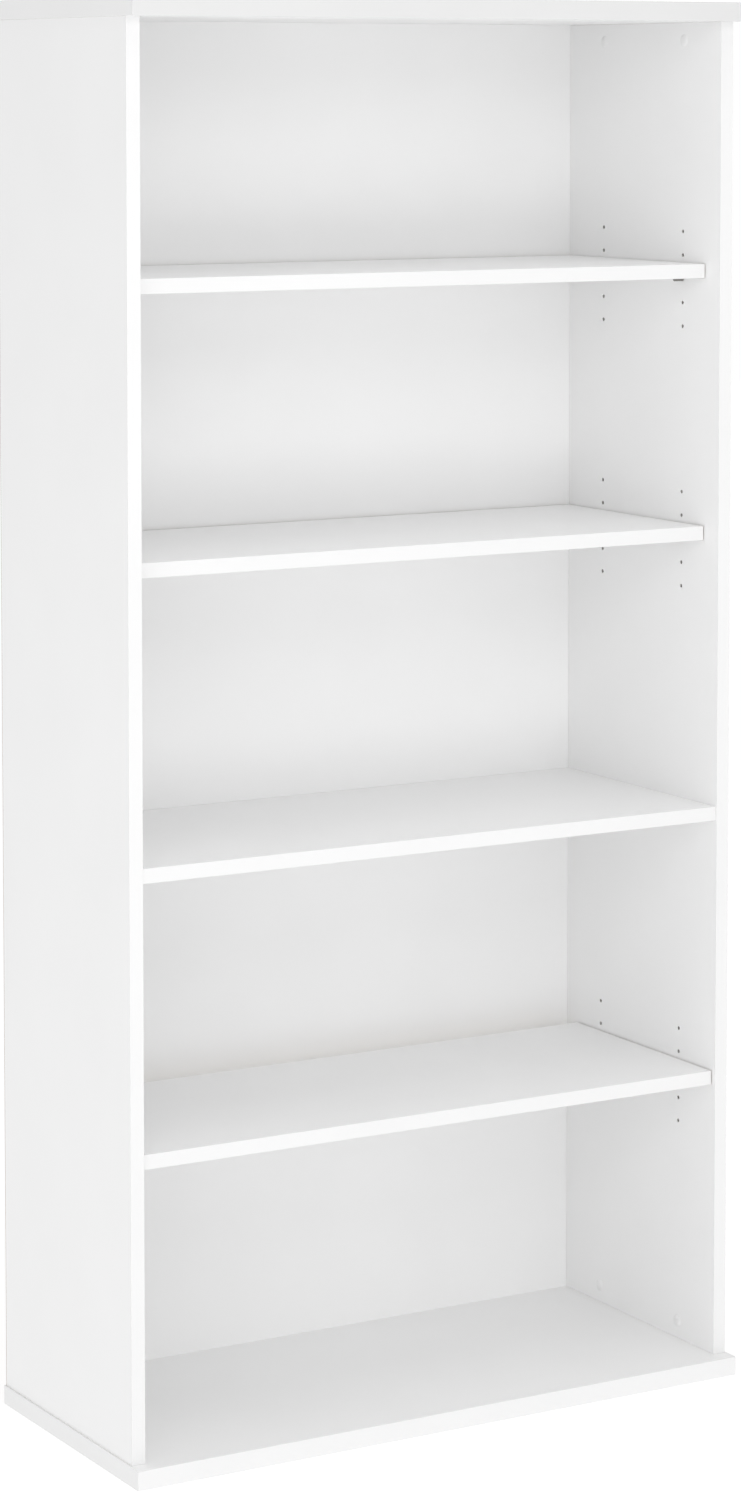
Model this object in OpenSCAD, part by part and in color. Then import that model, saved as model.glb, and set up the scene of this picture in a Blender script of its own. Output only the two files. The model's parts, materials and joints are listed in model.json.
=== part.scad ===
// Bookcase with three adjustable shelves, one fixed shelf and knock-down fittings.
// Millimetres. X runs from left to right, Y from front to back and Z up. The origin is on the
// floor, under the middle of the case.

/* [Case] */
// Width over the top and base panels
case_w = 906; // [600:1:1200]
// Depth from the top panel's front edge to the back panel's rear face
case_d = 390; // [320:1:500]
// Height from the floor to the top panel's upper face
case_h = 1849; // [1700:1:2300]

/* [Boards] */
// Thickness of the top and base panels
slab_t = 25; // [18:0.5:38]
// Thickness of the side panels
side_t = 19; // [15.5:0.5:25]
// Thickness of all four shelves
shelf_t = 19; // [15.5:0.5:25]
// Thickness of the back panel
back_t = 3; // [2.5:0.5:6]
// Thickness of the edge banding
band_t = 1; // [0.4:0.1:2]
// How far the top and base panels stand out past each side panel
slab_side_lip = 2.5; // [2:0.5:10]
// How far the top and base panels stand out past the side panels' front edges
slab_front_lip = 22; // [5:1:40]
// How far the back panel's outer edges stay inside the side panels' outer faces
back_edge_inset = 1; // [0:0.5:4]
// How far the back panel reaches up and down into the top and base panels' rebates
rebate_reach = 9; // [5:0.5:12]

/* [Shelves] */
// Height of the fixed shelf's underside above the floor
fixed_shelf_z = 755.5; // [560:0.5:900]
// How far the fixed shelf stands back from the side panels' front edges
fixed_shelf_recess = 3; // [1:0.5:20]
// How far the adjustable shelves stand back from the side panels' front edges when pushed home
loose_shelf_recess = 33; // [26:1:60]
// Gap between an adjustable shelf that is pushed home and the back panel
loose_shelf_rear_gap = 3; // [1:0.5:10]
// Gap between an adjustable shelf's end and the side panel
loose_shelf_end_gap = 1.5; // [0.5:0.1:3]
// How far the lower shelf is pulled forward from the back
lower_shelf_pull = 26; // [0:1:26]

/* [Pin holes] */
// Distance from one pin hole to the next one up
hole_pitch = 32; // [25:1:40]
// Holes in each column of a group, of which the middle one holds the pin
holes_in_group = 5; // [3:2:7]
// Distance between the front and rear columns of holes, centred on the side panel
column_spacing = 192; // [128:32:224]
// Height of the lower group's middle hole above the floor
lower_group_z = 392; // [260:1:560]
// Height of the case's top above the middle group's middle hole
middle_group_drop = 721; // [640:1:800]
// Height of the case's top above the upper group's middle hole
upper_group_drop = 369; // [260:1:440]
// Diameter of a pin hole
hole_d = 5; // [4:0.1:7]
// Depth of a pin hole
hole_depth = 10; // [8:0.5:12]

/* [Shelf pins] */
// Diameter of the stud that carries the shelf
stud_d = 6; // [5.6:0.1:10]
// How far the stud stands out of the side panel
stud_l = 14.5; // [8:0.5:20]
// Length of the pin's spigot inside its hole
spigot_l = 8.5; // [6:0.5:9]
// Rounding of the stud's free end
stud_round = 0.8; // [0.2:0.1:1.5]

/* [Cam fittings] */
// Diameter of a cam lock
cam_d = 15; // [14:0.5:18]
// Distance from a board's end to the cam's axis
cam_back = 24; // [22:0.5:34]
// How far a cam reaches past its bolt's axis
cam_past_bolt = 4; // [3.8:0.1:5]
// How far a cam's face lies below the board's face
cam_sink = 0.3; // [0.2:0.1:1]
// Wall of the cam around the chamber for the bolt's head
cam_rim = 1.6; // [1.2:0.1:2.5]
// How far a cam turns to let go of its bolt, in degrees
cam_turn = 180; // [150:5:200]
// Diameter of the bolt's head
bolt_head_d = 6; // [5:0.1:6.4]
// Length of the bolt's head
bolt_head_l = 3; // [2:0.1:4]
// Diameter of the bolt's neck, which passes through the cam's rim
bolt_neck_d = 4; // [3:0.1:4.5]
// Diameter of the bolt's shank
bolt_shank_d = 6; // [5:0.1:7]
// Diameter of the bolt's thread over its crests
bolt_thread_d = 5; // [4:0.1:7]
// Length of the bolt's thread
bolt_thread_l = 11; // [8:0.5:11]
// Distance from one crest of the thread to the next
thread_pitch = 2; // [1:0.5:3]
// Diameter of the hole for the bolt in the board's end
bolt_hole_d = 8; // [7.5:0.1:9]
// How far a cam's cover reaches past the cam all round
cover_lip = 1; // [0.5:0.1:3]
// Thickness of a cam's cover
cover_t = 1.8; // [0.6:0.1:2]

/* [Dowels and nails] */
// Diameter of a dowel
dowel_d = 8; // [6:0.5:10]
// Length of a dowel in the board's face
dowel_in_face = 11; // [8:0.5:11]
// Length of a dowel in the board's end
dowel_in_end = 18; // [12:0.5:24]
// Distance from a cam bolt to the dowel beside it
dowel_offset = 32; // [24:1:40]
// Diameter of a back panel nail
nail_d = 1.6; // [1.2:0.1:2.5]
// Length of a back panel nail
nail_l = 20; // [14:1:30]
// Diameter of a nail's head
nail_head_d = 4.6; // [3.5:0.1:6]
// Thickness of a nail's head, which is driven flush
nail_head_t = 0.8; // [0.5:0.1:1]
// Nails in each side panel's rear edge
side_nails = 10; // [6:1:14]
// Nails in the fixed shelf's rear edge
shelf_nails = 5; // [3:1:9]

/* [Hidden] */
$fn = 48;

// Clearances
pin_fit = 0.05;       // around a pin's spigot, on the radius
shelf_rest_gap = 0.1; // between a stud and the shelf that it carries
cam_fit = 0.1;        // around a cam in its pocket, and beside the parts that it turns past
fixing_fit = 0.05;    // around dowels, threads and nails, on the radius
neck_fit = 0.3;       // around the bolt's neck and head inside the cam
floor_gap = 0.5;      // behind dowels, threads and cams in their blind holes
rebate_gap = 0.5;     // around the back panel in its rebates
cut_over = 1;         // how far a cutting tool starts outside the face that it enters

// Where the boards lie
front_y = -case_d / 2;
rear_y = case_d / 2;
back_y = rear_y - back_t;                 // front face of the back panel
side_front_y = front_y + slab_front_lip;  // front edge of the side panels
side_mid_y = (side_front_y + back_y) / 2;
side_top_z = case_h - slab_t;             // underside of the top panel
out_x = case_w / 2 - slab_side_lip;       // outer face of a side panel
in_x = out_x - side_t;                    // inner face of a side panel
back_half_w = out_x - back_edge_inset;

// The pin holes, from the lower group to the upper one
columns_y = [side_mid_y - column_spacing / 2, side_mid_y + column_spacing / 2];
groups_z = [lower_group_z, case_h - middle_group_drop, case_h - upper_group_drop];
hole_steps = [for (i = [0 : holes_in_group - 1]) (i - (holes_in_group - 1) / 2) * hole_pitch];

// The adjustable shelves, in the same order as their groups of holes
shelf_names = ["lower_shelf", "middle_shelf", "upper_shelf"];
shelf_pulls = [lower_shelf_pull, 0, 0];
function shelf_z(i) = groups_z[i] + stud_d / 2 + shelf_rest_gap;

// Names of the places of pins and fittings: side -1 is the left one, column 0 the front one
sides = [-1, 1];
joints = ["top", "base", "fixed_shelf"];
function corner(column, side) = str(column == 0 ? "front" : "rear", side < 0 ? "_left" : "_right");
function pin_name(i, column, side) = str(shelf_names[i], "_pin_", corner(column, side));
function cam_name(joint, column, side) = str(joint, "_cam_", corner(column, side));

// The fittings
dowels_y = [columns_y[0] - dowel_offset, columns_y[1] + dowel_offset];
chamber_r = cam_d / 2 - cam_rim;
// The head's front corner stays just inside the chamber's wall
head_front = sqrt(pow(chamber_r - cam_fit, 2) - pow(bolt_head_d / 2, 2));
neck_slot = bolt_neck_d + 2 * neck_fit;
// Turn past each end of the neck's travel that the rim's slot leaves open
slot_margin = asin(neck_slot / 2 / chamber_r) + 2;
head_slot = bolt_head_d + 2 * neck_fit;
drive_d = 5.4;       // round middle of the cam's cross recess
drive_l = 9;         // length of each slot of the cross
drive_w = 1.6;
drive_depth = 2.6;
cover_peg_d = 5;
cover_peg_l = 2;
flange_d = 7;
flange_t = 1;
shank_end_gap = 0.5; // between the bolt's shank and the cam
thread_depth = 0.5;
dowel_chamfer = 1;
nail_tip_l = 2;
side_nail_inset = 35; // from the end of a side panel to its first nail
shelf_nail_inset = 60;

laminate = "whitesmoke";
banding = "white";
steel = "dimgray";
zinc = "silver";
beech = "burlywood";

// ---- Helpers -----------------------------------------------------------------------------

// A box given by its lowest and highest corners
module block(lo, hi) {
    translate(lo) cube(hi - lo);
}

// A board with banding on its front edge: this is what is left of it behind the banding
module board_behind_band(lo, hi) {
    block(lo + [0, band_t, 0], hi);
}

module front_band(lo, hi) {
    color(banding) block(lo, [hi[0], lo[1] + band_t, hi[2]]);
}

// The upside-down copy of what is made for the top of the case
module at_base() {
    translate([0, 0, case_h]) mirror([0, 0, 1]) children();
}

// Origin in the mouth of a pin hole, with +Z towards the middle of the case
module at_hole(side, y, z) {
    translate([side * in_x, y, z]) rotate([0, -90 * side, 0]) children();
}

// Origin where two boards of a joint meet: +Z points along the bolt to its cam, and +X to the
// face that the cam is put in from. All places are turned copies, because every cam is the same
// hand.
module at_joint(joint, side, y) {
    spot = joint == "top" ? [side * (in_x + side_t / 2), y, side_top_z]
         : joint == "base" ? [side * (in_x + side_t / 2), y, slab_t]
         : [side * in_x, y, fixed_shelf_z + shelf_t / 2];
    turn = joint == "top" ? (side > 0 ? [0, 180, 0] : [180, 0, 0])
         : joint == "base" ? (side > 0 ? [0, 0, 180] : [0, 0, 0])
         : (side > 0 ? [0, 90, 180] : [0, 90, 0]);
    translate(spot) rotate(turn) children();
}

// Origin in the face that the cam is put in from, with +Z out of it and +X to the bolt
module at_cam(joint, side, y) {
    at_joint(joint, side, y)
        translate([cam_board_t(joint) / 2, 0, cam_back]) rotate([0, 90, 0]) children();
}

function cam_board_t(joint) = joint == "fixed_shelf" ? shelf_t : side_t;

// ---- Holes -------------------------------------------------------------------------------

// In the board whose face takes the bolts' threads
module face_holes(joint, side) {
    for (y = columns_y) at_joint(joint, side, y)
        translate([0, 0, -bolt_thread_l - floor_gap])
            cylinder(r = bolt_thread_d / 2 + fixing_fit, h = bolt_thread_l + floor_gap + cut_over);
    for (y = dowels_y) at_joint(joint, side, y)
        translate([0, 0, -dowel_in_face - floor_gap])
            cylinder(r = dowel_d / 2 + fixing_fit, h = dowel_in_face + floor_gap + cut_over);
}

// In the board that holds the cams, from its end
module end_holes(joint, side) {
    for (y = columns_y) {
        at_joint(joint, side, y)
            translate([0, 0, -cut_over]) cylinder(d = bolt_hole_d, h = cam_back + cut_over);
        at_cam(joint, side, y)
            translate([0, 0, -cam_h(joint) - floor_gap])
                cylinder(r = cam_d / 2 + cam_fit, h = cam_h(joint) + floor_gap + cut_over);
    }
    for (y = dowels_y) at_joint(joint, side, y)
        translate([0, 0, -cut_over])
            cylinder(r = dowel_d / 2 + fixing_fit, h = dowel_in_end + floor_gap + cut_over);
}

module pin_holes(side) {
    for (z = groups_z, step = hole_steps, y = columns_y) at_hole(side, y, z + step)
        translate([0, 0, -hole_depth]) cylinder(d = hole_d, h = hole_depth + cut_over);
}

// Where the nails go, each with +Z out of the back panel's rear face
module at_nails() {
    first = slab_t + side_nail_inset;
    step = (side_top_z - side_nail_inset - first) / (side_nails - 1);
    for (side = sides, i = [0 : side_nails - 1])
        translate([side * (in_x + side_t / 2), rear_y, first + i * step]) rotate([-90, 0, 0]) children();
    reach = in_x - shelf_nail_inset;
    for (i = [0 : shelf_nails - 1])
        translate([-reach + i * 2 * reach / (shelf_nails - 1), rear_y, fixed_shelf_z + shelf_t / 2])
            rotate([-90, 0, 0]) children();
}

module nail_holes() {
    at_nails() nail(fixing_fit);
}

// ---- Boards ------------------------------------------------------------------------------

// The top panel is banded on its front and both ends, and rebated for the back panel
module top_panel() {
    color(laminate) difference() {
        block([-case_w / 2 + band_t, front_y + band_t, side_top_z], [case_w / 2 - band_t, rear_y, case_h]);
        block([-back_half_w - rebate_gap, back_y, side_top_z - cut_over],
              [back_half_w + rebate_gap, rear_y + cut_over, side_top_z + rebate_reach + rebate_gap]);
        for (side = sides) face_holes("top", side);
    }
}

module top_panel_edging() {
    front_band([-case_w / 2, front_y, side_top_z], [case_w / 2, rear_y, case_h]);
    color(banding) for (side = sides)
        translate([side * (case_w - band_t) / 2, (front_y + band_t + rear_y) / 2, side_top_z + slab_t / 2])
            cube([band_t, case_d - band_t, slab_t], center = true);
}

module base_panel() {
    at_base() top_panel();
}

module base_panel_edging() {
    at_base() top_panel_edging();
}

function side_lo(side) = [side > 0 ? in_x : -out_x, side_front_y, slab_t];
function side_hi(side) = [side > 0 ? out_x : -in_x, back_y, side_top_z];

module side_panel(side) {
    color(laminate) difference() {
        board_behind_band(side_lo(side), side_hi(side));
        end_holes("top", side);
        end_holes("base", side);
        face_holes("fixed_shelf", side);
        pin_holes(side);
        nail_holes();
    }
}

fixed_lo = [-in_x, side_front_y + fixed_shelf_recess, fixed_shelf_z];
fixed_hi = [in_x, back_y, fixed_shelf_z + shelf_t];

module fixed_shelf() {
    color(laminate) difference() {
        board_behind_band(fixed_lo, fixed_hi);
        for (side = sides) end_holes("fixed_shelf", side);
        nail_holes();
    }
}

loose_half_w = in_x - loose_shelf_end_gap;
function loose_lo(i) = [-loose_half_w, side_front_y + loose_shelf_recess - shelf_pulls[i], shelf_z(i)];
function loose_hi(i) = [loose_half_w, back_y - loose_shelf_rear_gap - shelf_pulls[i], shelf_z(i) + shelf_t];

module loose_shelf(i) {
    color(laminate) board_behind_band(loose_lo(i), loose_hi(i));
}

module back_panel() {
    color(laminate) difference() {
        block([-back_half_w, back_y, slab_t - rebate_reach],
              [back_half_w, rear_y, side_top_z + rebate_reach]);
        nail_holes();
    }
}

// ---- Fittings ----------------------------------------------------------------------------

// A shelf pin, with +Z out of the hole
module shelf_pin() {
    color(steel) rotate_extrude() {
        translate([0, -spigot_l]) square([hole_d / 2 - pin_fit, spigot_l + stud_round]);
        square([stud_d / 2 - stud_round, stud_l]);
        square([stud_d / 2, stud_l - stud_round]);
        translate([stud_d / 2 - stud_round, stud_l - stud_round]) circle(r = stud_round);
    }
}

function cam_h(joint) = cam_board_t(joint) / 2 + cam_past_bolt;

// A cam lock, with +Z out of its pocket and +X to the bolt. The slot in its rim runs clockwise
// from the bolt, and ends in the wide mouth that lets the bolt's head in.
module cam_lock(board_t) {
    h = board_t / 2 + cam_past_bolt;
    color(zinc) difference() {
        translate([0, 0, -h]) cylinder(d = cam_d, h = h - cam_sink);
        translate([0, 0, -board_t / 2]) {
            cylinder(r = chamber_r, h = head_slot, center = true);
            rotate([0, 0, -cam_turn - slot_margin]) rotate_extrude(angle = cam_turn + 2 * slot_margin)
                translate([chamber_r - cut_over, -neck_slot / 2])
                    square([cam_rim + 2 * cut_over, neck_slot]);
            rotate([0, 0, -cam_turn]) rotate([0, 90, 0]) cylinder(d = head_slot, h = cam_d / 2 + cut_over);
        }
        translate([0, 0, -drive_depth]) {
            cylinder(d = drive_d, h = drive_depth + cut_over);
            for (turn = [0, 90]) rotate([0, 0, turn]) translate([-drive_l / 2, -drive_w / 2, 0])
                cube([drive_l, drive_w, drive_depth + cut_over]);
        }
    }
}

// A cam bolt, with +Z to its cam and its flange on the board's face
module cam_bolt() {
    head_z = cam_back - head_front;
    shank_z = cam_back - cam_d / 2 - shank_end_gap;
    crest_r = bolt_thread_d / 2;
    root_r = crest_r - thread_depth;
    crests = floor(bolt_thread_l / thread_pitch) - 1;
    color(zinc) rotate_extrude() {
        translate([0, -bolt_thread_l]) square([root_r, bolt_thread_l + flange_t]);
        for (i = [0 : crests]) translate([0, -bolt_thread_l + (i + 0.5) * thread_pitch])
            polygon([[0, -thread_depth], [root_r, -thread_depth], [crest_r, 0],
                     [root_r, thread_depth], [0, thread_depth]]);
        square([flange_d / 2, flange_t]);
        square([bolt_shank_d / 2, shank_z]);
        square([bolt_neck_d / 2, head_z + bolt_head_l]);
        translate([0, head_z]) square([bolt_head_d / 2, bolt_head_l]);
    }
}

module cam_bolts(joint) {
    for (side = sides, y = columns_y) at_joint(joint, side, y) cam_bolt();
}

module dowel() {
    r = dowel_d / 2;
    length = dowel_in_face + dowel_in_end;
    color(beech) translate([0, 0, -dowel_in_face]) rotate_extrude()
        polygon([[0, 0], [r - dowel_chamfer, 0], [r, dowel_chamfer], [r, length - dowel_chamfer],
                 [r - dowel_chamfer, length], [0, length]]);
}

module dowels(joint) {
    for (side = sides, y = dowels_y) at_joint(joint, side, y) dowel();
}

module cam_covers(side) {
    color(banding) for (joint = ["top", "base"], y = columns_y) at_cam(joint, side, y) {
        cylinder(r = cam_d / 2 + cover_lip, h = cover_t);
        translate([0, 0, -cover_peg_l]) cylinder(d = cover_peg_d, h = cover_peg_l);
    }
}

// A nail with its head's outer face at Z = 0. The holes are nails with some play around them.
module nail(play = 0) {
    r = nail_d / 2 + play;
    rotate_extrude()
        polygon([[0, play], [nail_head_d / 2 + play, play], [nail_head_d / 2 + play, -nail_head_t - play],
                 [r, -nail_head_t - play], [r, -nail_l + nail_tip_l - play], [0, -nail_l - play]]);
}

module back_panel_nails() {
    color(steel) at_nails() nail();
}

// ---- Nodes -------------------------------------------------------------------------------

pin_places = [for (i = [0 : 2], column = [0, 1], side = sides) [i, column, side]];
cam_places = [for (joint = joints, column = [0, 1], side = sides) [joint, column, side]];

top_panel();
base_panel();
side_panel(-1);  // left_side_panel
side_panel(1);  // right_side_panel
fixed_shelf();
back_panel();
top_panel_edging();
base_panel_edging();
front_band(side_lo(-1), side_hi(-1));  // left_side_edging
front_band(side_lo(1), side_hi(1));  // right_side_edging
front_band(fixed_lo, fixed_hi);  // fixed_shelf_edging
cam_covers(-1);  // left_cam_covers
cam_covers(1);  // right_cam_covers
back_panel_nails();
for (i = [0 : 2]) {
    loose_shelf(i);
    front_band(loose_lo(i), loose_hi(i));
}
for (p = pin_places)
    at_hole(p[2], columns_y[p[1]], groups_z[p[0]]) shelf_pin();
for (p = cam_places)
    at_cam(p[0], p[2], columns_y[p[1]]) cam_lock(cam_board_t(p[0]));
for (joint = joints) {
    cam_bolts(joint);
    dowels(joint);
}
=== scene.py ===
"""Bookcase with one fixed and three adjustable shelves.

The packed model is the frame. Each operator makes finished pieces that stand for its plain solids:
boards, edging, back panel, shelf pins, cam fittings, dowels, covers and nails.
"""

import json
import math

import bmesh
import bpy
from bpy.props import FloatProperty, FloatVectorProperty, IntProperty, PointerProperty
from mathutils import Matrix, Vector

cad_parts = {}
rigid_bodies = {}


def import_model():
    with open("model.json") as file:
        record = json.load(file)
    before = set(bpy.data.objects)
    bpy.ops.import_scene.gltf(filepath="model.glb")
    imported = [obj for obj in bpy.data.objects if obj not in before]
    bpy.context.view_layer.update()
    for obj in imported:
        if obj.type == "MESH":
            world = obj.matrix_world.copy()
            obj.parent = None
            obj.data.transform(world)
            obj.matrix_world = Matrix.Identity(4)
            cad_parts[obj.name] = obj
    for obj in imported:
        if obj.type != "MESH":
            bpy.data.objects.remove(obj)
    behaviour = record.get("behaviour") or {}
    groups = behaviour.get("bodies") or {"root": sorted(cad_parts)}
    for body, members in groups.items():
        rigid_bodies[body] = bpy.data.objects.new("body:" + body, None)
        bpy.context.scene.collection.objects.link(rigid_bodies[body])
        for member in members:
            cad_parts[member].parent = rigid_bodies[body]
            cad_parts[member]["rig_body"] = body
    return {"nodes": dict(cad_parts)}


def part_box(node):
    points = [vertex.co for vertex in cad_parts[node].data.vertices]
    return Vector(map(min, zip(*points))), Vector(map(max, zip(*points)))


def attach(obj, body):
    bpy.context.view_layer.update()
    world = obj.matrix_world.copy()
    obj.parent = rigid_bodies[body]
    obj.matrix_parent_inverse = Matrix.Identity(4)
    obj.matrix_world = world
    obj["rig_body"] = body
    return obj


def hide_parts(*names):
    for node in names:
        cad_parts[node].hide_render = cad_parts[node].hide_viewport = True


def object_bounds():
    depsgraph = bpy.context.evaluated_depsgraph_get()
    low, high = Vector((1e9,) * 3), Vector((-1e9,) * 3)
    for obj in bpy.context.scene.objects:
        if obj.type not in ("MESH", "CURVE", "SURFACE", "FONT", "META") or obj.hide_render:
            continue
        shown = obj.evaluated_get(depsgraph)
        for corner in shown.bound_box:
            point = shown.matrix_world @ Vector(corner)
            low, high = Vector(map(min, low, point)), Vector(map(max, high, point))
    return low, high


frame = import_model()
CAD_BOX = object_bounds()

bl_info = {
    "name": "Bookcase with adjustable shelves",
    "version": (1, 0, 0),
    "blender": (4, 5, 0),
    "location": "3D View > Sidebar > Bookcase",
    "description": "Makes the finished pieces of a bookcase around its packed frame",
    "category": "Object",
}

X, Y, Z = range(3)
TOUCH = 2e-6  # corners nearer than this are one corner
FLUSH = math.radians(0.5)  # triangles that meet at less than this are one face
SQUARE = 0.9999  # a face whose normal lies this much along one axis is flat on it
BOARD_CREASE = 35  # degrees; a board's smooth shading breaks above this
CAM_EDGE = math.radians(60)  # a cam lock's edges sharper than this get an arris
DOME_STEPS = 8  # flat rings from a cam cover's rim to its middle
RING_PLACES = (0.3, 0.45, 0.6)  # rings turned into a pin's spigot, as shares of its length
LOOSE_SHELVES = ("lower_shelf", "middle_shelf", "upper_shelf")
SLABS = ("top_panel", "base_panel")
BOARDS = (*SLABS, "left_side_panel", "right_side_panel", "fixed_shelf")
BANDED = {
    "top_panel": "top_panel_edging",
    "base_panel": "base_panel_edging",
    "left_side_panel": "left_side_edging",
    "right_side_panel": "right_side_edging",
    "fixed_shelf": "fixed_shelf_edging",
    **{shelf: shelf + "_edging" for shelf in LOOSE_SHELVES},
}


def nodes_named(word):
    """The frame's nodes with this word in their names, in order"""
    return sorted(name for name in frame["nodes"] if word in name)


# ---- Sizes and colours that a user may change ---------------------------------------------------


def length(name, description, millimetres):
    return FloatProperty(
        name=name,
        description=description,
        default=millimetres / 1000,
        min=0,
        unit="LENGTH",
        precision=5,
    )


def colour(name, description, *linear):
    return FloatVectorProperty(
        name=name, description=description, default=linear, subtype="COLOR", min=0, max=1
    )


def power(name, description, watts):
    return FloatProperty(name=name, description=description, default=watts, min=0, unit="POWER")


class BookcaseBoardSettings(bpy.types.PropertyGroup):
    """Boards, edging and the back panel"""

    arris: length("Arris", "Bevel along the cut edges of a board", 0.45)
    band_round: length("Banding radius", "Rounding of the edging's outer edges", 0.8)
    laminate: colour("Laminate", "White melamine face of the boards", 0.91, 0.91, 0.91)
    banding: colour("Banding", "White edging along the front", 0.815, 0.815, 0.815)
    # Painted shade: a greyer copy of the banding colour for the top panel's front edging, standing
    # in for the dimmer light at the top of the case
    top_banding: colour("Top banding", "Front edging of the top panel, greyer", 0.7, 0.7, 0.7)
    end_banding: colour("End banding", "Edging on the ends of the top and base", 0.86, 0.86, 0.86)
    chip_dark: colour("Dark chips", "Darkest chips of the particleboard", 0.24, 0.185, 0.13)
    chip_light: colour("Light chips", "Lightest chips of the particleboard", 0.65, 0.565, 0.45)
    hardboard: colour("Hardboard", "Raw rear face of the back panel", 0.27, 0.165, 0.085)
    screen_pitch: length("Screen pitch", "Mesh pattern pressed into the hardboard's rear", 1.6)


class BookcaseFittingSettings(bpy.types.PropertyGroup):
    """Shelf pins, cam locks, bolts, dowels, covers and nails"""

    turned_steps: IntProperty(
        name="Turned steps",
        description="Flat sides round a turned piece",
        default=48,
        min=12,
        max=128,
        subtype="UNSIGNED",
    )
    pin_chamfer: length("Pin chamfer", "Chamfer at the shelf pin's spigot and shoulder", 0.4)
    pin_groove: length("Pin groove", "Depth of the rings turned into the shelf pin", 0.22)
    cam_arris: length("Cam arris", "Bevel along the cam lock's edges", 0.15)
    cover_dome: length("Cover dome", "How far the cover's middle stands above its rim", 1.6)
    nail_dome: length("Nail dome", "How far the nail head's rim falls below its middle", 0.25)
    flutes: IntProperty(
        name="Flutes",
        description="Grooves round a dowel",
        default=18,
        min=8,
        max=36,
        subtype="UNSIGNED",
    )
    flute_depth: length("Flute depth", "Depth of a dowel's grooves", 0.25)
    thread_pitch: length("Thread pitch", "Distance between the crests of a bolt's thread", 2.0)
    thread_depth: length("Thread depth", "Height of the thread above the bolt's core", 0.5)
    # Partly the pins' own dark nickel, partly painted shade: made darker to stand in for the shade
    # under the shelves where the pins sit
    pin_steel: colour("Pin steel", "Darkened nickel of the shelf pins", 0.27, 0.262, 0.25)
    cam_zinc: colour("Cam zinc", "Cast zinc of the cam locks", 0.52, 0.52, 0.5)
    bolt_steel: colour("Bolt steel", "Zinc-plated steel of the cam bolts", 0.66, 0.67, 0.68)
    beech: colour("Beech", "Wood of the dowels", 0.66, 0.45, 0.27)
    cover_plastic: colour("Cover plastic", "White plastic of the cam covers", 0.87, 0.87, 0.87)
    nail_steel: colour("Nail steel", "Bright steel of the back panel's nails", 0.6, 0.6, 0.61)


class BookcaseStageSettings(bpy.types.PropertyGroup):
    """Camera, floor and light"""

    camera_place: FloatVectorProperty(
        name="Camera place",
        description="Where the camera stands",
        default=(-2.6746343, -4.5661365, 1.7354999),
        subtype="TRANSLATION",
        unit="LENGTH",
    )
    camera_turn: FloatProperty(
        name="Camera turn",
        description="Turn of the camera from +Y towards +X",
        default=0.529,
        subtype="ANGLE",
    )
    camera_tilt: FloatProperty(
        name="Camera tilt",
        description="Downward tilt of the camera",
        default=0.0708,
        subtype="ANGLE",
    )
    camera_shift: FloatProperty(
        name="Camera shift", description="Vertical lens shift", default=-0.25, subtype="FACTOR"
    )
    camera_lens: FloatProperty(
        name="Lens", description="Focal length in millimetres", default=96.874, min=1
    )
    floor_size: length("Floor size", "Side of the square floor", 30000)
    floor_paint: colour("Floor", "Pale floor", 0.25, 0.25, 0.25)
    floor_glow: FloatProperty(
        name="Floor glow", description="Light that the white sweep gives off", default=0.83, min=0
    )
    surround: FloatProperty(
        name="Surround", description="Light from all round", default=0.697, min=0
    )
    corner_light: power("Corner light", "Power of the softbox off the front left corner", 15.7)
    high_light: power("High light", "Power of the softbox high in front", 21.7)
    low_light: power("Low light", "Power of the softbox low in front", 13.9)
    top_light: power("Top light", "Power of the softbox overhead", 22)


# ---- Mesh helpers -------------------------------------------------------------------------------


def corners_of(node):
    """A bmesh of a node's solid, with one corner where its triangles meet"""
    bm = bmesh.new()
    bm.from_mesh(frame["nodes"][node].data)
    bmesh.ops.remove_doubles(bm, verts=bm.verts, dist=TOUCH)
    return bm


def merged(node):
    """A bmesh of a node's solid, with its triangles joined into whole faces"""
    bm = corners_of(node)
    bmesh.ops.dissolve_limit(
        bm, angle_limit=FLUSH, use_dissolve_boundaries=False, verts=bm.verts, edges=bm.edges
    )
    return bm


def block(bm, lo, hi):
    """Adds a box from its lowest to its highest corner"""
    made = bmesh.ops.create_cube(bm, size=1)["verts"]
    bmesh.ops.scale(bm, vec=Vector(hi) - Vector(lo), verts=made)
    bmesh.ops.translate(bm, vec=(Vector(lo) + Vector(hi)) / 2, verts=made)


def soften(bm, edges, radius, segments=2):
    """Bevels edges, and shades the new strips smooth"""
    made = bmesh.ops.bevel(
        bm,
        geom=list(edges),
        offset=radius,
        offset_type="OFFSET",
        affect="EDGES",
        segments=segments,
        profile=0.5,
        material=-1,
        clamp_overlap=True,
    )
    for face in made["faces"]:
        face.smooth = True


def planes_met(edge, lo, hi):
    """How many of a box's six planes an edge lies in"""
    return sum(
        all(abs(corner.co[axis] - side[axis]) < TOUCH for corner in edge.verts)
        for axis in (X, Y, Z)
        for side in (lo, hi)
    )


def soften_outline(bm, lo, hi, radius, segments=2):
    """Bevels the outer edges of a board, and none of its holes' or grooves' edges"""
    soften(bm, [edge for edge in bm.edges if planes_met(edge, lo, hi) == 2], radius, segments)


def skewed(face):
    """Whether a face is flat on none of the axes, as on a bevel or in a hole"""
    return max(abs(part) for part in face.normal) < SQUARE


def break_shading(bm, degrees):
    """Breaks smooth shading at edges at least this sharp"""
    for edge in bm.edges:
        edge.smooth = edge.calc_face_angle(0) < math.radians(degrees)


def crease(bm, degrees=30):
    """Shades every face smooth, up to edges this sharp"""
    for face in bm.faces:
        face.smooth = True
    break_shading(bm, degrees)


def join(bm, part, matrix=None):
    """Adds a part to a piece, moved by the matrix"""
    bmesh.ops.transform(part, matrix=matrix or Matrix.Identity(4), verts=part.verts)
    mesh = bpy.data.meshes.new("part")
    part.to_mesh(mesh)
    part.free()
    bm.from_mesh(mesh)
    bpy.data.meshes.remove(mesh)


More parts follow.
